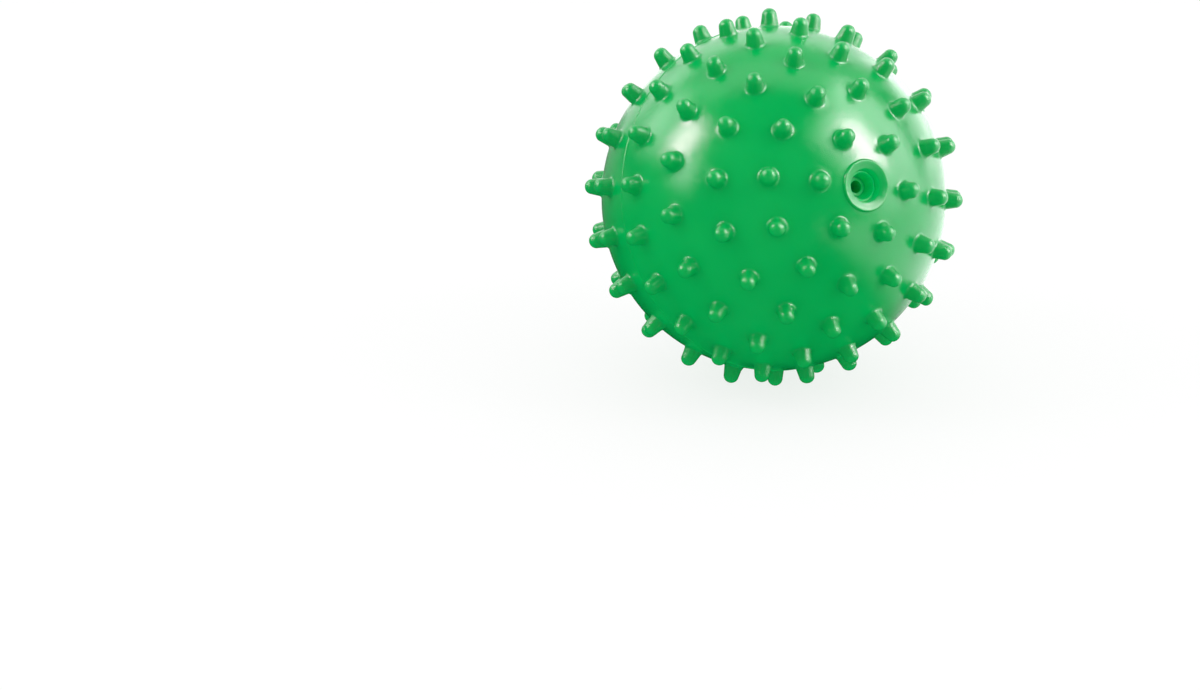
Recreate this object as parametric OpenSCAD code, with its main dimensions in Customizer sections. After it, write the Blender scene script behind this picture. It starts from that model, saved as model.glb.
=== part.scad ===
// Inflatable knobby sensory ball with a plug valve.
// It rests on three knob tips on Z = 0, and its valve faces front, to -Y, and a little up.
// Each piece is modelled about the valve axis: +Z through the valve, origin at the ball's centre.

/* [Body] */
// Diameter of the inflated body, without its knobs
body_d = 115; // [100:1:140]
// Thickness of the moulded vinyl wall
wall = 1.2; // [0.8:0.1:2]
// Width of the flash line that the mould leaves round the middle
flash_w = 0.7; // [0.4:0.1:1]
// Height of the flash line above the body
flash_h = 0.2; // [0.1:0.05:0.4]

/* [Knobs] */
// Height of a knob above the body
knob_h = 6; // [5:0.1:8]
// Diameter of a knob's round tip
knob_tip_d = 5.1; // [4:0.1:5.6]
// Diameter of a knob's stem, just above its foot
knob_stem_d = 5.9; // [5:0.1:6.5]
// Radius of the fillet round a knob's foot
knob_fillet = 1; // [0.5:0.1:1.4]

/* [Pattern] */
// Angle between neighbouring rings of knobs, in degrees
ring_pitch = 16.2; // [15.5:0.1:16.5]
// Knobs in the first ring, round the valve
count_1 = 6; // [5:1:7]
// Knobs in the second ring
count_2 = 12; // [10:1:13]
// Knobs in the third ring
count_3 = 16; // [14:1:18]
// Knobs in the fourth ring
count_4 = 19; // [18:1:22]
// Knobs in the fifth ring, beside the flash line
count_5 = 22; // [20:1:24]

/* [Valve well] */
// Diameter of the well's mouth, at the foot of the dish that leads into it
mouth_d = 10.8; // [10.2:0.1:12]
// Depth of the well's mouth below the body
dish_depth = 0.6; // [0.4:0.1:1]
// Diameter of the raised rim, along its crest
rim_crest_d = 15.2; // [14.5:0.1:17]
// Radius of the rim's round section
rim_round = 0.8; // [0.6:0.1:1.2]
// Height of the rim's crest above the body
rim_h = 0.9; // [0.6:0.1:1.2]
// Depth of the bush's top face below the body
seat_depth = 2.7; // [2.2:0.1:3.4]
// Depth of the socket's inner end below the body
socket_depth = 12; // [10:0.5:14]
// Thickness of the socket's wall
socket_wall = 1.5; // [1.2:0.1:2]

/* [Valve bush] */
// Outer diameter of the bush
bush_d = 9.8; // [9.4:0.1:10.4]
// How much larger the bush is than its socket, on the radius
bush_grip = 0.05; // [0.02:0.01:0.08]
// Width of the flat ring round the funnel's mouth
bush_lip_w = 0.6; // [0.4:0.1:0.9]
// How far the bush's inner bead stands out past the bush
bead_out = 0.9; // [0.5:0.1:1.2]
// Height of the bush's inner bead
bead_h = 1.4; // [1:0.1:2]

/* [Plug] */
// Diameter of the plug's stem
plug_d = 5.2; // [4.8:0.1:5.6]
// Diameter of the plug's head
plug_head_d = 6.2; // [5.8:0.1:6.6]
// Height of the plug's tapered head
plug_head_h = 1.1; // [0.8:0.1:1.4]
// Depth of the plug's top face below the body
plug_depth = 6.3; // [5.6:0.1:7]
// Length of the plug
plug_l = 8.8; // [8:0.1:11]
// Diameter of the blind hole in the plug
plug_hole_d = 4; // [3.4:0.1:4.2]
// Thickness of the plug's closed end
plug_end = 1.6; // [1:0.1:2]
// Gap between the plug and the bush, all round
plug_gap = 0.05; // [0.02:0.01:0.08]

/* [Stance] */
// Direction about the valve axis in which the ball meets the floor, in degrees
rest_turn = 189; // [186:0.5:191]

/* [Hidden] */
ball_fn = 120;
knob_fn = 32;
valve_fn = 64;
skin_green = [0.0, 0.62, 0.29];
bush_green = [0.0, 0.58, 0.28];
plug_green = [0.0, 0.5, 0.24];

// Turn of each ring about the valve axis, from the valve to the far pole, in degrees
ring_turns = [25.5, 25, 19, 4, 5.5, 4.7, 9, 11, 17, 30];
half_counts = [count_1, count_2, count_3, count_4, count_5];
rings = len(ring_turns);

body_r = body_d / 2;
tip_r = knob_tip_d / 2;
stem_r = knob_stem_d / 2;
foot_r = stem_r + knob_fillet;
dome_z = knob_h - tip_r;
// A fillet ends a little below the body's surface, so that it meets it at a small angle
foot_bite = knob_fillet / 16;
foot_z = sag(foot_r) + foot_bite;
knob_root = wall / 2;

mouth_r = mouth_d / 2;
rim_r = rim_crest_d / 2;
crest_z = rim_h - sag(rim_r);
rim_root = knob_root + sag(rim_r);
bush_r = bush_d / 2;
seat_r = bush_r - bush_grip;
socket_r = seat_r + socket_wall;
collar_r = mouth_r + socket_wall;
overrun = wall;

plug_r = plug_d / 2;
head_r = plug_head_d / 2;
hole_r = plug_hole_d / 2;
bore_r = plug_r + plug_gap;
funnel_r = bush_r - bush_lip_w;
head_z = -plug_depth;
neck_z = head_z - plug_head_h;
end_z = head_z - plug_l;
end_taper = plug_r - hole_r;
bush_end_z = -socket_depth - bead_h;

// How far the body's surface has dropped at a distance r from an axis through its centre
function sag(r) = body_r - sqrt(body_r * body_r - r * r);
// Rings past the middle mirror the ones before it
function ring_tilt(k) = k < rings / 2 ? (k + 1) * ring_pitch : 180 - (rings - k) * ring_pitch;
function ring_count(k) = half_counts[min(k, rings - 1 - k)];
function ring_step(k) = 360 / ring_count(k);
function knob_turn(k, i) = ring_turns[k] + i * ring_step(k);
function knob_axis(k, i) = [
    sin(ring_tilt(k)) * cos(knob_turn(k, i)),
    sin(ring_tilt(k)) * sin(knob_turn(k, i)),
    cos(ring_tilt(k))
];

// The ball rests on one knob of the first ring past the middle and on two of the next ring
near_ring = rings / 2;
far_ring = near_ring + 1;
near_knob = round((rest_turn - ring_turns[near_ring]) / ring_step(near_ring));
far_knob = floor((rest_turn - ring_turns[far_ring]) / ring_step(far_ring));
rest_a = knob_axis(near_ring, near_knob);
rest_b = knob_axis(far_ring, far_knob);
rest_c = knob_axis(far_ring, far_knob + 1);
rest_cross = cross(rest_b - rest_a, rest_c - rest_a);
rest_out = rest_cross * rest_a > 0 ? rest_cross : -rest_cross;
rest_axis = rest_out / norm(rest_out);
rest_tilt = acos(rest_axis[2]);
rest_azimuth = atan2(rest_axis[1], rest_axis[0]);
centre_h = (body_r + dome_z) * (rest_axis * rest_a) + tip_r;

// Sets a piece that is modelled about the valve axis in the ball's resting pose
module at_rest() {
    translate([0, 0, centre_h])
        rotate([0, 180 - rest_tilt, -90])
            rotate([0, 0, -rest_azimuth])
                children();
}

// One knob along +Z, from inside the wall to its round tip, with z = 0 on the body's surface
module knob() {
    rotate_extrude($fn = knob_fn) {
        difference() {
            polygon([
                [0, -knob_root],
                [foot_r, -knob_root],
                [foot_r, -foot_z],
                [stem_r, knob_fillet - foot_z],
                [tip_r, dome_z],
                [0, dome_z]
            ]);
            translate([foot_r, knob_fillet - foot_z]) circle(knob_fillet);
        }
        intersection() {
            translate([0, dome_z]) circle(tip_r);
            translate([0, dome_z - tip_r]) square([tip_r, 2 * tip_r]);
        }
    }
}

module knobs() {
    for (k = [0 : rings - 1])
        for (i = [0 : ring_count(k) - 1])
            rotate([0, ring_tilt(k), knob_turn(k, i)])
                translate([0, 0, body_r])
                    knob();
    rotate([180, 0, 0]) translate([0, 0, body_r]) knob();
}

// The thin raised line where the two halves of the mould met
module flash_line() {
    rotate_extrude($fn = ball_fn)
        polygon([
            [body_r - knob_root, -flash_w / 2],
            [body_r, -flash_w / 2],
            [body_r + flash_h, 0],
            [body_r, flash_w / 2],
            [body_r - knob_root, flash_w / 2]
        ]);
}

// Everything round the valve is given by its depth below the body's surface.
// The rim is a bead with a disc inside it, which the well's dish is cut from.
module valve_rim() {
    translate([0, 0, body_r])
        rotate_extrude($fn = valve_fn) {
            translate([rim_r, crest_z - rim_round]) circle(rim_round);
            translate([0, -rim_root]) square([rim_r, crest_z + rim_root]);
        }
}

// Solid from which the socket's wall is left when the well is cut
module socket_blank() {
    translate([0, 0, body_r])
        rotate_extrude($fn = valve_fn)
            polygon([
                [0, -knob_root],
                [collar_r, -knob_root],
                [collar_r, -wall - sag(collar_r)],
                [socket_r, -seat_depth - socket_wall],
                [socket_r, -socket_depth],
                [0, -socket_depth]
            ]);
}

module valve_well() {
    translate([0, 0, body_r])
        rotate_extrude($fn = valve_fn)
            polygon([
                [0, rim_h + overrun],
                [rim_r, rim_h + overrun],
                [rim_r, crest_z],
                [mouth_r, -dish_depth],
                [seat_r, -seat_depth],
                [seat_r, -socket_depth - overrun],
                [0, -socket_depth - overrun]
            ]);
}

module skin() {
    color(skin_green)
        at_rest()
            difference() {
                union() {
                    sphere(body_r, $fn = ball_fn);
                    knobs();
                    flash_line();
                    valve_rim();
                }
                difference() {
                    sphere(body_r - wall, $fn = ball_fn);
                    socket_blank();
                }
                valve_well();
            }
}

// Soft bush bonded into the socket: a funnel above the bore, and a bead below the socket
module valve_bush() {
    color(bush_green)
        at_rest()
            translate([0, 0, body_r])
                rotate_extrude($fn = valve_fn)
                    polygon([
                        [funnel_r, -seat_depth],
                        [bush_r, -seat_depth],
                        [bush_r, -socket_depth],
                        [bush_r + bead_out, -socket_depth],
                        [bush_r + bead_out - bead_h / 4, bush_end_z],
                        [bore_r, bush_end_z],
                        [bore_r, neck_z - plug_gap],
                        [head_r + plug_gap, head_z - plug_gap],
                        [head_r + plug_gap, head_z]
                    ]);
}

// Push-in plug with a tapered head and a blind hole, closed at its inner end
module valve_plug() {
    color(plug_green)
        at_rest()
            translate([0, 0, body_r])
                rotate_extrude($fn = valve_fn)
                    polygon([
                        [hole_r, head_z],
                        [head_r, head_z],
                        [plug_r, neck_z],
                        [plug_r, end_z + end_taper],
                        [hole_r, end_z],
                        [0, end_z],
                        [0, end_z + plug_end],
                        [hole_r, end_z + plug_end]
                    ]);
}

skin();
valve_bush();
valve_plug();
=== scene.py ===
"""Inflatable knobby ball of soft green vinyl: the moulded skin, its valve bush and its plug.
All sizes are in metres, and all angles that have a name are in degrees."""

import bmesh
import bpy
import numpy as np
from mathutils import Matrix, Vector


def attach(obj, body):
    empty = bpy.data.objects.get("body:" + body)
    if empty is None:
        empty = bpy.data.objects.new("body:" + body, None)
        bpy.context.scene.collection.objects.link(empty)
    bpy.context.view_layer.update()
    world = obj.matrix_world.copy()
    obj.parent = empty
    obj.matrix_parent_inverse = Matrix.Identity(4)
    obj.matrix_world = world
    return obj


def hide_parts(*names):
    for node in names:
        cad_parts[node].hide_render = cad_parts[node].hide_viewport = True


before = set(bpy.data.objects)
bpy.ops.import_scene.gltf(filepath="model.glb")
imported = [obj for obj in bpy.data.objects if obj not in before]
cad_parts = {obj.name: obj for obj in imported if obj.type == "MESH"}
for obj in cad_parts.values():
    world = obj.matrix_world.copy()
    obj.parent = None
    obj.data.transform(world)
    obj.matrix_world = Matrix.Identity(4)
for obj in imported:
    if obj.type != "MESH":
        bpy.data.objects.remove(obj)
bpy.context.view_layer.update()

MM = 0.001

# Body and knobs
BODY_R = 57.5 * MM
WALL = 1.2 * MM
FLASH_W = 0.7 * MM
FLASH_H = 0.2 * MM
KNOB_H = 6 * MM
KNOB_TIP_R = 2.55 * MM
KNOB_STEM_R = 2.95 * MM
KNOB_FILLET = 1 * MM
DOME_Z = KNOB_H - KNOB_TIP_R

# A knob's tip leans by about LEAN each way and by twice that at most, and stands lower than in the mould
# by an amount between the two of DROP
LEAN = 0.16 * MM
DROP = (0.1 * MM, 0.45 * MM)
LEAN_SEED = 7

# Rings of knobs, from the valve to the far pole: the angle between two rings, how many knobs each ring has
# and how far it is turned. REST_TURN is the side that the ball rests on.
RING_PITCH = 16.2
HALF_COUNTS = np.array([6, 12, 16, 19, 22])
RING_COUNTS = np.concatenate([HALF_COUNTS, HALF_COUNTS[::-1]])
RING_TURNS = np.array([25.5, 25, 19, 4, 5.5, 4.7, 9, 11, 17, 30])
RINGS = len(RING_COUNTS)
NEAR_TILTS = RING_PITCH * np.arange(1, RINGS // 2 + 1)
RING_TILTS = np.concatenate([NEAR_TILTS, 180 - NEAR_TILTS[::-1]])
RING_STEPS = 360 / RING_COUNTS
REST_TURN = 189

# Rim, well and socket: radii, and heights and depths from the body's surface. A cut is how much a corner
# is rounded, and COLLAR_R is where the socket grows out of the inner face.
RIM_R = 7.6 * MM
RIM_ROUND = 0.8 * MM
RIM_H = 0.9 * MM
RIM_FILLET = 0.3 * MM
MOUTH_R = 5.4 * MM
DISH_DEPTH = 0.6 * MM
SEAT_R = 4.85 * MM
SEAT_DEPTH = 2.7 * MM
SOCKET_R = 6.35 * MM
SOCKET_DEPTH = 12 * MM
SOCKET_WALL = 1.5 * MM
SOCKET_CUT = 0.3 * MM
COLLAR_R = 6.9 * MM

# The arch that makes the dish: the angle on the rim's bead at which it starts, and how far short of the
# mouth it ends, as a share of the way from the mouth to the arch's handle
ARCH_START = 60
ARCH_SHORT = 0.15

# Bush and plug
BUSH_R = 4.9 * MM
BUSH_CUT = 0.1 * MM
FUNNEL_R = 4.3 * MM
BEAD_R = 5.8 * MM
BEAD_H = 1.4 * MM
BEAD_TAPER = BEAD_H / 4
BORE_R = 2.65 * MM
PLUG_R = 2.6 * MM
PLUG_CUT = 0.12 * MM
PLUG_HEAD_R = 3.1 * MM
PLUG_HEAD_H = 1.1 * MM
PLUG_DEPTH = 6.3 * MM
PLUG_L = 8.8 * MM
PLUG_HOLE_R = 2 * MM
PLUG_END = 1.6 * MM
PLUG_GAP = 0.05 * MM

# Tiles round the knobs: the length of a step along a tile's border and the least number of steps, and the
# rows between a knob's foot and the border. Seams join the rings, and SEAM_HALF is half a seam's angle.
WEB_STEP = 2.1 * MM
WEB_LEAST = 4
WEB_ROWS = 3
SEAM_HALF = 1.0

# The valve's profile begins at a tilt of RIM_EDGE, and the seam from there to the first ring takes RIM_SEAM
RIM_EDGE = 10.0
RIM_SEAM = 1.2

# Mesh density: columns round the valve's axis, and rows or steps along a profile
VALVE_COLUMNS = 96
POLE_COLUMNS = 34
FLASH_COLUMNS = 176
FLASH_ROWS = 5
DOME_STEPS = 6
STEM_STEPS = 3
FOOT_STEPS = 5
RIM_STEPS = 6
CREST_STEPS = 8
ARCH_STEPS = 12
CORNER_STEPS = 5
INSIDE_STEPS = 30

# Points closer together than WELD become one, and edges that bend more than SHARP_EDGE are shaded sharp
WELD = 0.002 * MM
SHARP_EDGE = 35

# The camera, read from the photograph: where the ball's centre lies in its frame, the focal length in
# pixels, and the direction and distance from which the ball is seen
FRAME_PX = np.array([1200.0, 690.0])
BALL_PX = np.array([773.4, 198.5])
FOCAL_PX = 2913.8
CAMERA_AZIMUTH = -32.66
CAMERA_ELEVATION = 16.77
CAMERA_DISTANCE = 0.9775
CAMERA_NEAR = 10 * MM
SENSOR_W = 36.0

# Green of the wall, of what stands above it and of what lies below it, as linear colours
WALL_GREEN = (0.0, 0.445, 0.092, 1.0)
SOLID_GREEN = (0.0, 0.435, 0.09, 1.0)
# The paler green in the well is painted light, which makes up for the shade that falls in the recess
WELL_GREEN_PAINTED_LIGHT = (0.0, 0.62, 0.15, 1.0)

# Heights above the body between which the wall's finish turns into the knobs', and depths below it
# between which it turns into the well's
SOLID_FROM = 0.04 * MM
SOLID_TO = 0.18 * MM
WELL_FROM = 0.35 * MM
WELL_TO = 0.5 * MM

# Grain of the mould, which is deeper on the knobs and in the well
GRAIN_SCALE = 3500.0
GRAIN_DETAIL = 2.0
WALL_GRAIN = 0.036 * MM
SOLID_GRAIN = 0.1 * MM

# Clouds in the vinyl, which change its tint a little, and with it the wall's roughness
CLOUD_SCALE = 40.0
CLOUD_DETAIL = 3.0
CLOUD_RANGE = (0.3, 0.7)
CLOUD_TINT = (0.94, 1.04)
WALL_ROUGH = (0.12, 0.18)
SOLID_ROUGH = 0.2

# Light bends as it enters the vinyl, and spreads inside it by LIGHT_REACH times these shares of red, green
# and blue
VINYL_IOR = 1.5
LIGHT_REACH = 2.5 * MM
REACH_SHARES = (0.2, 1.0, 0.45)

# Studio: the lamps, and the even light that fills it
LAMP_DISTANCE = 1.5
PLAIN_WHITE = (1.0, 1.0, 1.0)
ROSY_WHITE = (1.0, 0.66, 0.84)
NODE_WHITE = (*PLAIN_WHITE, 1.0)
FILL = 1.0

# What a glossy surface sees of the room. The backdrop's range is the cosine of the angle from the way that
# the camera looks: where the backdrop starts to show, and where it is full.
ROOM_DARK = 0.01
BACKDROP = 0.6
BACKDROP_RANGE = (0.5, 0.95)

# What a glossy surface sees of the floor: how bright it is on the right of the ball and behind it, and how
# far off that starts and is full. The way to the right leans away from the camera by FLOOR_RIGHT_TURN.
FLOOR_RIGHT = 1.85
FLOOR_RIGHT_RANGE = (0.055, 0.12)
FLOOR_RIGHT_TURN = 0.5
FLOOR_BEHIND = 0.35
FLOOR_BEHIND_RANGE = (0.05, 0.4)

# What all else sees of the floor: the camera sees paper with a glow mixed in, which is white and still
# takes the ball's shadow, and an even light comes from it
FLOOR_R = 4.0
FLOOR_SIDES = 64
FLOOR_PAPER = (0.6, 0.6, 0.6, 1.0)
FLOOR_GLOW = 1.16
FLOOR_GLOW_SHARE = 0.7
FLOOR_FILL = 0.85


def directions(tilt, turn):
    """Three unit vectors at each place on the ball that lies a tilt away from the valve's axis, at a turn
    about it: straight out, towards more tilt, and towards more turn. They are those of polar angles."""
    tilt, turn = np.broadcast_arrays(np.radians(tilt), np.radians(turn))
    level = np.zeros(tilt.shape)
    out = np.stack([np.sin(tilt) * np.cos(turn), np.sin(tilt) * np.sin(turn), np.cos(tilt)], -1)
    down = np.stack([np.cos(tilt) * np.cos(turn), np.cos(tilt) * np.sin(turn), -np.sin(tilt)], -1)
    side = np.stack([-np.sin(turn), np.cos(turn), level], -1)
    return out, down, side


def resting_pose():
    """Rotation and centre that set the ball on three knobs: the one nearest REST_TURN in the first ring past
    the middle, and the two of the next ring on either side of it. The plane of their tips becomes the
    floor. Also gives the numbers of these knobs in their rings."""
    near, far = RINGS // 2, RINGS // 2 + 1
    near_knob = round((REST_TURN - RING_TURNS[near]) / RING_STEPS[near])
    far_knob = int((REST_TURN - RING_TURNS[far]) // RING_STEPS[far])
    rings = [near, far, far]
    knobs = np.array([near_knob, far_knob, far_knob + 1])
    a, b, c = directions(RING_TILTS[rings], RING_TURNS[rings] + RING_STEPS[rings] * knobs)[0]
    foot = np.cross(b - a, c - a)
    foot *= np.sign(foot @ a) / np.linalg.norm(foot)
    tilt = np.arccos(foot[2])
    azimuth = np.arctan2(foot[1], foot[0])
    rotation = Matrix.Rotation(-np.pi / 2, 3, "Z") @ Matrix.Rotation(np.pi - tilt, 3, "Y")
    rotation = rotation @ Matrix.Rotation(-azimuth, 3, "Z")
    centre = np.array([0, 0, (BODY_R + DOME_Z) * (foot @ a) + KNOB_TIP_R])
    return np.array(rotation), centre, {near: [near_knob], far: [far_knob, far_knob + 1]}


TO_ROW, CENTRE, REST_KNOBS = resting_pose()


def place(name, data):
    """A new object in the scene that shows a mesh, a lamp or a camera."""
    thing = bpy.data.objects.new(name, data)
    bpy.context.scene.collection.objects.link(thing)
    return thing


class Shell:
    """Gathers patches of points and their faces, and welds them into one closed mesh in the row frame."""

    def __init__(self):
        self.points = []
        self.faces = []
        self.count = 0

    def patch(self, points, faces):
        """Points, and faces that number these points from zero."""
        self.points.append(points.reshape(-1, 3))
        self.faces.extend((faces + self.count).tolist())
        self.count += len(self.points[-1])

    def grid(self, points):
        """Quads between neighbouring rows of a grid of points, whose last column meets its first."""
        rows, columns = points.shape[:2]
        index = np.arange(rows * columns).reshape(rows, columns)
        after = np.roll(index, -1, axis=1)
        quads = np.stack([index[:-1], index[1:], after[1:], after[:-1]], -1)
        self.patch(points, quads.reshape(-1, 4))

    def seam(self, upper, lower):
        """Triangles between two circles of latitude, given as (radius, tilt, turns). Each step along one
        circle makes a triangle with a point of the other that lies near the step's middle."""
        turns = [np.sort(np.mod(circle[2], 360)) for circle in (upper, lower)]
        middles = [(t + np.append(t[1:], t[0] + 360)) / 2 for t in turns]
        size = [len(t) for t in turns]
        points = [circle[0] * directions(circle[1], t)[0] for circle, t in zip((upper, lower), turns)]
        top, low = np.arange(size[0]), np.arange(size[1])
        low_met = np.searchsorted(middles[1], middles[0], side="left") % size[1]
        top_met = np.searchsorted(middles[0], middles[1], side="right") % size[0]
        below = np.stack([top, size[0] + low_met, (top + 1) % size[0]], -1)
        above = np.stack([size[0] + low, size[0] + (low + 1) % size[1], top_met], -1)
        self.patch(np.concatenate(points), np.concatenate([below, above]))

    def build(self, name):
        """The finished object, set in the ball's resting pose."""
        mesh = bpy.data.meshes.new(name)
        mesh.from_pydata(np.concatenate(self.points) @ TO_ROW.T + CENTRE, [], self.faces)
        work = bmesh.new()
        work.from_mesh(mesh)
        bmesh.ops.remove_doubles(work, verts=work.verts, dist=WELD)
        work.to_mesh(mesh)
        work.free()
        mesh.shade_smooth()
        mesh.set_sharp_from_angle(angle=np.radians(SHARP_EDGE))
        return place(name, mesh)


def arc(centre, radius, start, stop, steps):
    """Points of a circle's arc, from one angle to another."""
    angle = np.radians(np.linspace(start, stop, steps + 1))
    return np.stack([centre[0] + radius * np.cos(angle), centre[1] + radius * np.sin(angle)], -1)


def bend(start, handle, stop, steps):
    """Points of a quadratic curve. It leaves its start towards the handle, and meets its stop from there."""
    t = np.linspace(0, 1, steps + 1)[:, None]
    return (1 - t) ** 2 * start + 2 * t * (1 - t) * handle + t**2 * stop


def rounded(corners, closed=False):
    """A profile with rounded corners. Each corner is (r, z, cut): the straight sides stop a length cut short
    of it, and a bend with the corner as its handle joins their ends. A cut of zero leaves it as it is."""
    corners = np.array(corners, float)
    count = len(corners)
    path = []
    for i, (*corner, cut) in enumerate(corners):
        corner = np.array(corner)
        if cut == 0:
            path.append(corner[None])
            continue
        sides = [corners[(i + j) % count][:2] - corner for j in (-1, 1)]
        start, stop = [corner + cut * side / np.linalg.norm(side) for side in sides]
        path.append(bend(start, corner, stop, CORNER_STEPS))
    if closed:
        path.append(path[0][:1])
    return np.concatenate(path)


def even_turns(count):
    """Turns of points that are spread evenly round a circle."""
    return np.arange(count) * 360 / count


def turned(profile):
    """The grid of points that a profile of (distance from the valve's axis, height above the body) sweeps as
    it turns about that axis. Seen from the valve it turns clockwise, so that the faces of a profile that
    runs towards the axis look out."""
    turn = -np.radians(even_turns(VALVE_COLUMNS))
    r, z = profile[:, 0, None], profile[:, 1, None]
    return np.stack([r * np.cos(turn), r * np.sin(turn), BODY_R + z + 0 * turn], -1)


def knob_profile():
    """Profile of a knob from its tip to its foot, as distance from its axis and height above the body: a
    quarter circle for the dome, a straight tapered stem, and a fillet that touches the stem and the ball."""
    reach = KNOB_STEM_R + KNOB_FILLET
    fillet_z = np.sqrt((BODY_R + KNOB_FILLET) ** 2 - reach**2) - BODY_R
    fillet_tilt = np.degrees(np.arcsin(reach / (BODY_R + KNOB_FILLET)))
    dome = arc((0, DOME_Z), KNOB_TIP_R, 90, 0, DOME_STEPS)
    stem = np.linspace((KNOB_TIP_R, DOME_Z), (KNOB_STEM_R, fillet_z), STEM_STEPS + 1)[1:-1]
    fillet = arc((reach, fillet_z), KNOB_FILLET, 180, 270 - fillet_tilt, FOOT_STEPS)
    return np.concatenate([dome, stem, fillet])


def knobs_with_web(shell, axes, border, middle, lean):
    """Knobs of one ring, each with its share of the body round it. The rows of a tile are the knob's profile
    turned about the knob's axis, and then lie on the ball and pass evenly from its foot to the tile's
    border. middle is the border's column that lies straight towards the valve. A knob leans by a share
    that grows with the square of the height, and its top is a little lower."""
    out, down, side = (v[:, None, None, :] for v in axes)
    lean_down, lean_side, drop = (v[:, None, None, None] for v in lean)
    columns = border.shape[1]
    bearing = np.radians(360 * (np.arange(columns) - middle) / columns)[None, None, :, None]
    away = side * np.sin(bearing) - down * np.cos(bearing)
    r, z = (column[None, :, None, None] for column in knob_profile().T)
    share = np.clip(z / KNOB_H, 0, 1) ** 2
    points = (BODY_R + z - share * drop) * out + r * away
    points = points + share * (lean_down * down + lean_side * side)
    foot = points[:, -1:]
    part = np.linspace(0, 1, WEB_ROWS + 1)[1:][None, :, None, None]
    web = foot / BODY_R * (1 - part) + border[:, None] * part
    web *= BODY_R / np.linalg.norm(web, axis=-1, keepdims=True)
    for tile in np.concatenate([points, web], axis=1):
        shell.grid(tile[:, ::-1])


def random_lean(count, rng):
    """Soft knobs come out of the mould a little bent and a little short: how far each one leans down and
    aside, in a normal spread that is cut off, and how much lower it is, in an even one."""
    down, side = (rng.normal(0, LEAN, count).clip(-2 * LEAN, 2 * LEAN) for _ in range(2))
    return down, side, rng.uniform(*DROP, count)


def ring_border(k):
    """Tilts at which ring k's tiles begin and end: halfway to its neighbours, less half a seam. The first
    ring begins where the rim's seam ends, and the last one ends half a pitch before the pole."""
    inner = (RING_TILTS[k] + RING_TILTS[k - 1]) / 2 + SEAM_HALF if k > 0 else RIM_EDGE + RIM_SEAM
    outer = (RING_TILTS[k] + RING_TILTS[k + 1]) / 2 if k < RINGS - 1 else 180 - RING_PITCH / 2
    return inner, outer - SEAM_HALF


def steps_along(angle):
    """How many mesh steps an arc on the ball takes: one for each WEB_STEP, and WEB_LEAST at least."""
    return max(WEB_LEAST, round(np.radians(angle) * BODY_R / WEB_STEP))


def ring_of_knobs(shell, k, rng):
    """Tiles of ring k, side by side. A tile's border runs along its upper edge, down one side, back along
    its lower edge and up the other side. Gives the two circles that the ring ends in, for the seams."""
    inner, outer = ring_border(k)
    count, half = RING_COUNTS[k], RING_STEPS[k] / 2
    n_in, n_out = (steps_along(2 * half * np.sin(np.radians(tilt))) for tilt in (inner, outer))
    n_side = steps_along(outer - inner)
    turn_off = np.concatenate([
        np.linspace(-half, half, n_in, endpoint=False), np.full(n_side, half),
        np.linspace(half, -half, n_out, endpoint=False), np.full(n_side, -half),
    ])
    tilts = np.concatenate([
        np.full(n_in, inner), np.linspace(inner, outer, n_side, endpoint=False),
        np.full(n_out, outer), np.linspace(outer, inner, n_side, endpoint=False),
    ])
    turns = RING_TURNS[k] + np.arange(count) * RING_STEPS[k]
    border = directions(tilts, turns[:, None] + turn_off)[0]
    lean = random_lean(count, rng)
    # The knobs that carry the ball stay as the mould made them
    for values in lean:
        values[REST_KNOBS.get(k, [])] = 0
    knobs_with_web(shell, directions(RING_TILTS[k], turns), border, n_in / 2, lean)
    start = RING_TURNS[k] - half
    return [
        (BODY_R, inner, start + even_turns(count * n_in)),
        (BODY_R, outer, start + even_turns(count * n_out)),
    ]


def pole_knob(shell):
    """The round tile at the far pole, whose knob stands straight. Gives the circle that it ends in."""
    turns = even_turns(POLE_COLUMNS)
    edge = 180 - RING_PITCH / 2 + SEAM_HALF
    border = directions(edge, turns)[0][None]
    straight = (np.zeros(1), np.zeros(1), np.full(1, DROP[0]))
    knobs_with_web(shell, directions(np.array([180.0]), 0), border, 0, straight)
    return [(BODY_R, edge, turns)]


def flash_line(shell):
    """The line that the mould leaves is a low parabola across the middle. Gives the circles at its edges."""
    across = np.linspace(-1, 1, FLASH_ROWS)
    tilts = 90 + np.degrees(FLASH_W / 2 / BODY_R) * across
    radii = BODY_R + FLASH_H * (1 - across**2)
    turns = even_turns(FLASH_COLUMNS)
    shell.grid(radii[:, None, None] * directions(tilts[:, None], turns)[0])
    return [(BODY_R, tilts[0], turns), (BODY_R, tilts[-1], turns)]


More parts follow.
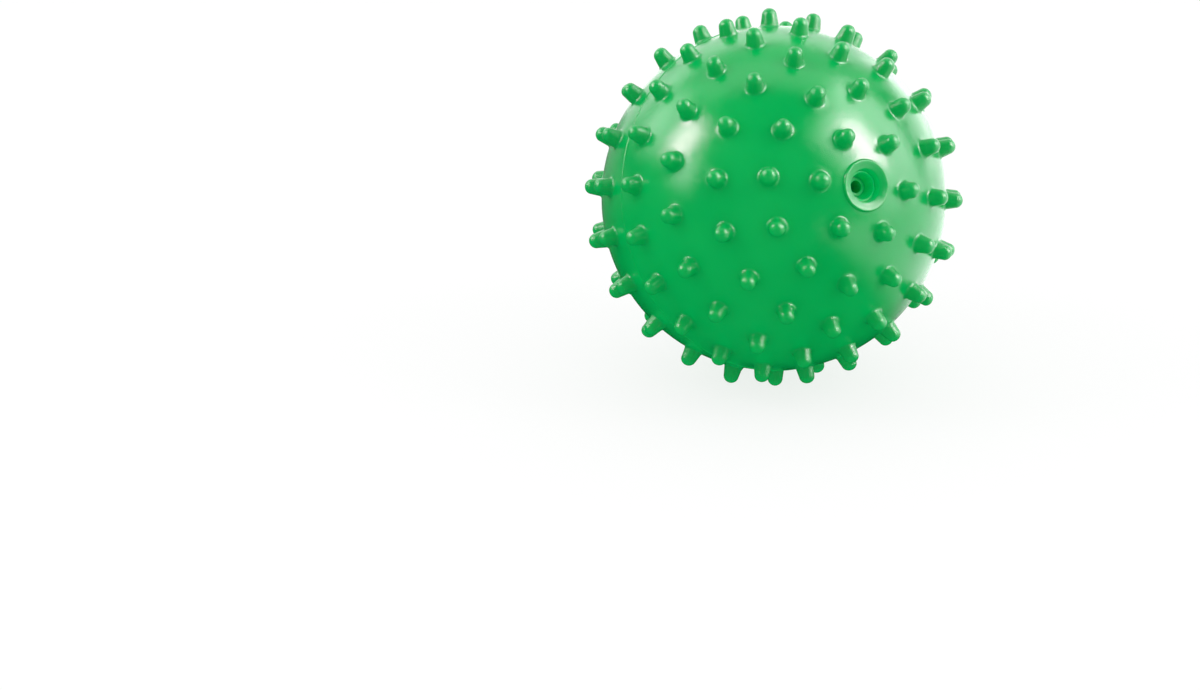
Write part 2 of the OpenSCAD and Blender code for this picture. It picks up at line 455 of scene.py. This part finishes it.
def rim_profile():
    """Profile from the body's surface over the rim and down its dish. The rim is a round bead with a fillet
    that touches both the bead and the ball. The dish is a bend that leaves the bead along its tangent, and
    ends on the straight line from the bead's top to the mouth, a little above the mouth."""
    sag = BODY_R - np.sqrt(BODY_R**2 - RIM_R**2)
    bead = np.array([RIM_R, RIM_H - RIM_ROUND - sag])
    ball = np.array([0, -BODY_R])

    # The fillet's centre is as far from the ball's and from the bead's as circles are that touch
    far, near = BODY_R + RIM_FILLET, RIM_ROUND + RIM_FILLET
    gap = np.linalg.norm(bead - ball)
    along = (gap**2 + far**2 - near**2) / (2 * gap)
    unit = (bead - ball) / gap
    fillet = ball + along * unit + np.sqrt(far**2 - along**2) * np.array([unit[1], -unit[0]])
    to_ball, to_bead = (np.degrees(np.arctan2(*(end - fillet)[::-1])) % 360 for end in (ball, bead))
    edge = np.radians(RIM_EDGE)
    start = np.array([[BODY_R * np.sin(edge), BODY_R * (np.cos(edge) - 1)]])
    outer = arc(fillet, RIM_FILLET, to_ball, to_bead, RIM_STEPS)
    crest = arc(bead, RIM_ROUND, to_bead - 180, ARCH_START, CREST_STEPS)[1:]

    # The arch's handle is where the bead's tangent meets the slope to the mouth
    mouth = np.array([MOUTH_R, -DISH_DEPTH])
    slope = bead + [0, RIM_ROUND] - mouth
    ahead = np.array([-np.sin(np.radians(ARCH_START)), np.cos(np.radians(ARCH_START))])
    reach = np.linalg.solve(np.stack([ahead, -slope], -1), mouth - crest[-1])[0]
    handle = crest[-1] + reach * ahead
    arch = bend(crest[-1], handle, mouth + ARCH_SHORT * (handle - mouth), ARCH_STEPS)
    return np.concatenate([start, outer, crest[:-1], arch])


def valve_profile():
    """Profile from the body's surface over the rim, down the well, through the socket and round the inner
    face to the far pole."""
    rim = rim_profile()
    inside_r = BODY_R - WALL
    well = rounded([
        (*rim[-1], 0),
        (MOUTH_R, -DISH_DEPTH, SOCKET_CUT),
        (SEAT_R, -SEAT_DEPTH, 0),
        (SEAT_R, -SOCKET_DEPTH, SOCKET_CUT),
        (SOCKET_R, -SOCKET_DEPTH, SOCKET_CUT),
        (SOCKET_R, -SEAT_DEPTH - SOCKET_WALL, SOCKET_CUT),
        (COLLAR_R, np.sqrt(inside_r**2 - COLLAR_R**2) - BODY_R, 0),
    ])
    begin = np.degrees(np.arcsin(COLLAR_R / inside_r))
    inside = arc((0, -BODY_R), inside_r, 90 - begin, -90, INSIDE_STEPS)[1:]
    return np.concatenate([rim[:-1], well, inside])


def skin():
    """The whole moulding as one closed surface: ten rings of tiles, one round tile at the far pole, the flash
    line, and one profile turned about the valve's axis for rim, well, socket and inner face. Seams join
    the circles in which they end, from the rim to the pole."""
    shell = Shell()
    rng = np.random.default_rng(LEAN_SEED)
    circles = [(BODY_R, RIM_EDGE, even_turns(VALVE_COLUMNS))]
    for k in range(RINGS // 2):
        circles += ring_of_knobs(shell, k, rng)
    middle = len(circles)
    for k in range(RINGS // 2, RINGS):
        circles += ring_of_knobs(shell, k, rng)
    circles += pole_knob(shell)
    circles[middle:middle] = flash_line(shell)
    shell.grid(turned(valve_profile()))
    for upper, lower in zip(circles[0::2], circles[1::2]):
        shell.seam(upper, lower)
    return shell.build("skin_moulding")


def valve_bush():
    """A turned profile: funnel, flat lip, straight outer wall, bead and bore."""
    neck = -PLUG_DEPTH - PLUG_HEAD_H
    shell = Shell()
    shell.grid(turned(rounded([
        (FUNNEL_R, -SEAT_DEPTH, BUSH_CUT),
        (PLUG_HEAD_R + PLUG_GAP, -PLUG_DEPTH, BUSH_CUT),
        (BORE_R, neck - PLUG_GAP, 0),
        (BORE_R, -SOCKET_DEPTH - BEAD_H, BUSH_CUT),
        (BEAD_R - BEAD_TAPER, -SOCKET_DEPTH - BEAD_H, BUSH_CUT),
        (BEAD_R, -SOCKET_DEPTH, BUSH_CUT),
        (BUSH_R, -SOCKET_DEPTH, 0),
        (BUSH_R, -SEAT_DEPTH, BUSH_CUT),
    ], closed=True)))
    return shell.build("valve_bush_turned")


def valve_plug():
    """A turned profile: tapered head, straight stem, tapered end and a blind hole."""
    neck = -PLUG_DEPTH - PLUG_HEAD_H
    end = -PLUG_DEPTH - PLUG_L
    shell = Shell()
    shell.grid(turned(rounded([
        (0, end + PLUG_END, 0),
        (PLUG_HOLE_R, end + PLUG_END, PLUG_CUT),
        (PLUG_HOLE_R, -PLUG_DEPTH, PLUG_CUT),
        (PLUG_HEAD_R, -PLUG_DEPTH, PLUG_CUT),
        (PLUG_R, neck, PLUG_CUT),
        (PLUG_R, end + PLUG_R - PLUG_HOLE_R, PLUG_CUT),
        (PLUG_HOLE_R, end, PLUG_CUT),
        (0, end, 0),
    ])[::-1]))
    return shell.build("valve_plug_turned")


def node_kit(owner):
    """A short way to fill the node tree of a material or a world: adds a node with its inputs, each of them
    a value or another node's socket, and its settings."""
    owner.use_nodes = True
    tree = owner.node_tree
    tree.nodes.clear()

    def add(kind, inputs=(), **settings):
        node = tree.nodes.new(kind)
        for key, value in settings.items():
            setattr(node, key, value)
        for key, value in dict(inputs).items():
            if isinstance(value, bpy.types.NodeSocket):
                tree.links.new(value, node.inputs[key])
            else:
                node.inputs[key].default_value = value
        return node

    return add


def ramp(add, value, low, high, to_low, to_high):
    """A value carried from one range to another, held at its ends."""
    inputs = {"Value": value, "From Min": low, "From Max": high, "To Min": to_low, "To Max": to_high}
    return add("ShaderNodeMapRange", inputs).outputs["Result"]


def blend(add, kind, factor, a, b):
    """A colour or a number that passes from a to b."""
    return add("ShaderNodeMix", {"Factor": factor, "A": a, "B": b}, data_type=kind).outputs["Result"]


def larger(add, a, b):
    """The larger of two numbers."""
    return add("ShaderNodeMath", {0: a, 1: b}, operation="MAXIMUM").outputs["Value"]


def noise(add, point, scale, detail):
    """Cloudy noise in space, from 0 to 1."""
    inputs = {"Vector": point, "Scale": scale, "Detail": detail}
    return add("ShaderNodeTexNoise", inputs).outputs["Fac"]


def distance_along(add, point, way):
    """How far a point lies along a direction."""
    return add("ShaderNodeVectorMath", {0: point, 1: way}, operation="DOT_PRODUCT").outputs["Value"]


def vinyl(name, see_through, shine):
    """Soft moulded vinyl. The distance from the ball's centre tells the thin wall from what stands above it,
    such as knobs and rim, and from what lies below it, which is the valve's well. The wall is glossy with a
    fine grain from the mould, and the others have a coarser grain and a softer shine. The well gets a paler
    green, which is painted light that makes up for the shade that falls in it. The vinyl's tint is a little
    uneven."""
    material = bpy.data.materials.new(name)
    add = node_kit(material)
    point = add("ShaderNodeTexCoord").outputs["Object"]
    height = add("ShaderNodeVectorMath", {0: point, 1: CENTRE}, operation="DISTANCE").outputs["Value"]
    above = ramp(add, height, BODY_R + SOLID_FROM, BODY_R + SOLID_TO, 0, 1)
    below = ramp(add, height, BODY_R - WELL_TO, BODY_R - WELL_FROM, 1, 0)
    off_wall = larger(add, above, below)
    fine = noise(add, point, GRAIN_SCALE, GRAIN_DETAIL)
    cloud = noise(add, point, CLOUD_SCALE, CLOUD_DETAIL)

    raised = blend(add, "RGBA", above, WALL_GREEN, SOLID_GREEN)
    # Below the wall the green turns paler: painted light that makes up for the shade in the well
    green_and_painted_light = blend(add, "RGBA", below, raised, WELL_GREEN_PAINTED_LIGHT)
    tint = ramp(add, cloud, *CLOUD_RANGE, *CLOUD_TINT)
    colour = add("ShaderNodeVectorMath", {0: green_and_painted_light, "Scale": tint}, operation="SCALE")
    wall_rough = ramp(add, cloud, *CLOUD_RANGE, *WALL_ROUGH)
    grain = ramp(add, off_wall, 0, 1, WALL_GRAIN, SOLID_GRAIN)
    relief = add("ShaderNodeBump", {"Height": fine, "Strength": 1.0, "Distance": grain})
    shader = add("ShaderNodeBsdfPrincipled", {
        "Base Color": colour.outputs["Vector"],
        "Roughness": blend(add, "FLOAT", off_wall, wall_rough, SOLID_ROUGH),
        "Normal": relief.outputs["Normal"],
        "IOR": VINYL_IOR,
        "Specular IOR Level": shine,
        "Subsurface Weight": see_through,
        "Subsurface Radius": REACH_SHARES,
        "Subsurface Scale": LIGHT_REACH,
    })
    add("ShaderNodeOutputMaterial", {"Surface": shader.outputs["BSDF"]})
    return material


def finish_piece(piece, node, body, slot, see_through, shine):
    """A piece stands for its CAD node, moves with a body and takes its finish from a slot."""
    piece.data.materials.append(vinyl(slot, see_through, shine))
    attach(piece, body)
    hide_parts(node)


def aim_camera():
    """Puts the camera where the photograph was taken from, level, and turned so that the ball's centre falls
    on its pixel. A level camera that looks down by p sees a point (x, y) of its picture at a drop of
    asin of (sin p - y cos p) over the point's length, which gives p, and then the turn about the vertical.
    Gives the directions from the ball to the camera and to the camera's right."""
    azimuth, elevation = np.radians([CAMERA_AZIMUTH, CAMERA_ELEVATION])
    back = np.array([
        np.sin(azimuth) * np.cos(elevation), -np.cos(azimuth) * np.cos(elevation), np.sin(elevation),
    ])
    # Pixels count from the top down, and y goes up
    x, y = (BALL_PX - FRAME_PX / 2) * [1, -1] / FOCAL_PX
    length = np.sqrt(1 + x**2 + y**2)
    down = np.arcsin(np.sin(elevation) * length / np.sqrt(1 + y**2)) + np.arctan(y)
    aside = np.arctan2(x, np.cos(down) + y * np.sin(down))
    heading = np.arctan2(-back[0], -back[1]) - aside
    data = bpy.data.cameras.new("camera")
    data.sensor_width = SENSOR_W
    data.lens = FOCAL_PX * SENSOR_W / FRAME_PX[0]
    data.clip_start = CAMERA_NEAR
    camera = place("camera", data)
    camera.location = CENTRE + CAMERA_DISTANCE * back
    camera.rotation_euler = (np.pi / 2 - down, 0, -heading)
    bpy.context.scene.camera = camera
    return back, np.array([np.cos(azimuth), np.sin(azimuth), 0])


def softbox(name, toward, radiance, width, height, colour=PLAIN_WHITE, fills=False):
    """A rectangular soft lamp that faces the ball. toward is its direction as the camera sees it: right, up
    and back. Its power is pi times its area and radiance. One that fills isn't seen in reflections, and
    the others show in reflections alone."""
    up = np.cross(CAMERA_BACK, CAMERA_RIGHT)
    way = toward[0] * CAMERA_RIGHT + toward[1] * up + toward[2] * CAMERA_BACK
    way /= np.linalg.norm(way)
    data = bpy.data.lights.new(name, "AREA")
    data.shape = "RECTANGLE"
    data.size = width
    data.size_y = height
    data.energy = np.pi * width * height * radiance
    data.color = colour
    lamp = place(name, data)
    lamp.location = CENTRE + LAMP_DISTANCE * way
    lamp.rotation_euler = Vector(way).to_track_quat("Z", "Y").to_euler()
    lamp.visible_camera = False
    lamp.visible_diffuse = fills
    lamp.visible_glossy = not fills


def mirror_ray(add, path):
    """One where a ray comes from a reflection or through a clear surface, and zero elsewhere."""
    return larger(add, path.outputs["Is Glossy Ray"], path.outputs["Is Transmission Ray"])


def studio():
    """White to the camera all round. Soft surfaces get an even light from it, and a glossy one sees a pale
    backdrop behind the ball and a dark room behind the camera."""
    world = bpy.data.worlds.new("studio")
    bpy.context.scene.world = world
    add = node_kit(world)
    path = add("ShaderNodeLightPath")
    way = add("ShaderNodeTexCoord").outputs["Generated"]
    ahead = distance_along(add, way, -CAMERA_BACK)
    backdrop = ramp(add, ahead, *BACKDROP_RANGE, ROOM_DARK, BACKDROP)
    seen = blend(add, "FLOAT", mirror_ray(add, path), FILL, backdrop)
    level = blend(add, "FLOAT", path.outputs["Is Camera Ray"], seen, 1.0)
    light = add("ShaderNodeBackground", {"Color": NODE_WHITE, "Strength": level})
    add("ShaderNodeOutputWorld", {"Surface": light.outputs["Background"]})


def floor_paper():
    """White to the camera, apart from the ball's shadow. In reflections it is bright on the right and behind
    the ball, and dark in front."""
    material = bpy.data.materials.new("floor_white")
    add = node_kit(material)

    def glow(strength):
        return add("ShaderNodeEmission", {"Color": NODE_WHITE, "Strength": strength}).outputs[0]

    def mix(share, first, second):
        return add("ShaderNodeMixShader", {0: share, 1: first, 2: second}).outputs[0]

    path = add("ShaderNodeLightPath")
    point = add("ShaderNodeTexCoord").outputs["Object"]
    aside = distance_along(add, point, CAMERA_RIGHT - FLOOR_RIGHT_TURN * CAMERA_BACK)
    ahead = distance_along(add, point, -CAMERA_BACK)
    right = ramp(add, aside, *FLOOR_RIGHT_RANGE, 0, FLOOR_RIGHT)
    behind = ramp(add, ahead, *FLOOR_BEHIND_RANGE, 0, FLOOR_BEHIND)
    paper = add("ShaderNodeBsdfDiffuse", {"Color": FLOOR_PAPER}).outputs[0]
    shown = mix(FLOOR_GLOW_SHARE, paper, glow(FLOOR_GLOW))
    plain = mix(path.outputs["Is Camera Ray"], glow(FLOOR_FILL), shown)
    surface = mix(mirror_ray(add, path), plain, glow(larger(add, right, behind)))
    add("ShaderNodeOutputMaterial", {"Surface": surface})
    return material


def floor():
    """A flat round floor under the ball."""
    turn = np.radians(even_turns(FLOOR_SIDES))
    points = FLOOR_R * np.stack([np.cos(turn), np.sin(turn), 0 * turn], -1)
    mesh = bpy.data.meshes.new("floor")
    mesh.from_pydata(points, [], [list(range(FLOOR_SIDES))])
    mesh.materials.append(floor_paper())
    place("floor", mesh)


finish_piece(skin(), "skin", "ball", "skin_vinyl", see_through=0.3, shine=0.5)
# Bush and plug lie deep in the well, so they take its paler green, which is painted light
finish_piece(valve_bush(), "valve_bush", "ball", "bush_vinyl", see_through=0.5, shine=0.2)
finish_piece(valve_plug(), "valve_plug", "plug", "plug_vinyl", see_through=0.7, shine=0.2)

CAMERA_BACK, CAMERA_RIGHT = aim_camera()

# Each lamp's direction, radiance, width and height
softbox("left_core", (-0.806, 0.515, 0.290), 21.0, 0.42, 0.60, ROSY_WHITE)
softbox("left_low", (-0.845, 0.26, 0.466), 5.0, 0.38, 0.50)
softbox("left_halo", (-0.80, 0.56, -0.10), 3.0, 0.75, 0.75)
softbox("left_wall", (-0.75, 0.53, -0.40), 1.2, 1.0, 0.65)
softbox("right_core", (0.80, 0.50, 0.325), 21.0, 0.42, 0.85, ROSY_WHITE)
softbox("right_halo", (0.807, 0.551, 0.213), 5.0, 1.7, 1.5)
softbox("right_back", (0.61, 0.24, -0.75), 2.2, 1.1, 0.9)
softbox("right_wall", (0.965, -0.20, -0.12), 3.4, 1.3, 1.25)
softbox("ceiling_front", (0.0, 1.0, 0.0), 1.3, 2.3, 0.66)
softbox("ceiling_back", (0.0, 0.85, -0.53), 0.65, 2.3, 1.0)
softbox("ceiling_far", (-0.14, 0.57, -0.81), 0.85, 2.0, 1.1)
softbox("left_key", (-0.75, 0.55, 0.4), 3.0, 0.5, 0.5, fills=True)
softbox("right_key", (0.75, 0.55, 0.4), 3.0, 0.5, 0.5, fills=True)

studio()
floor()
bpy.context.scene.view_settings.view_transform = "Standard"
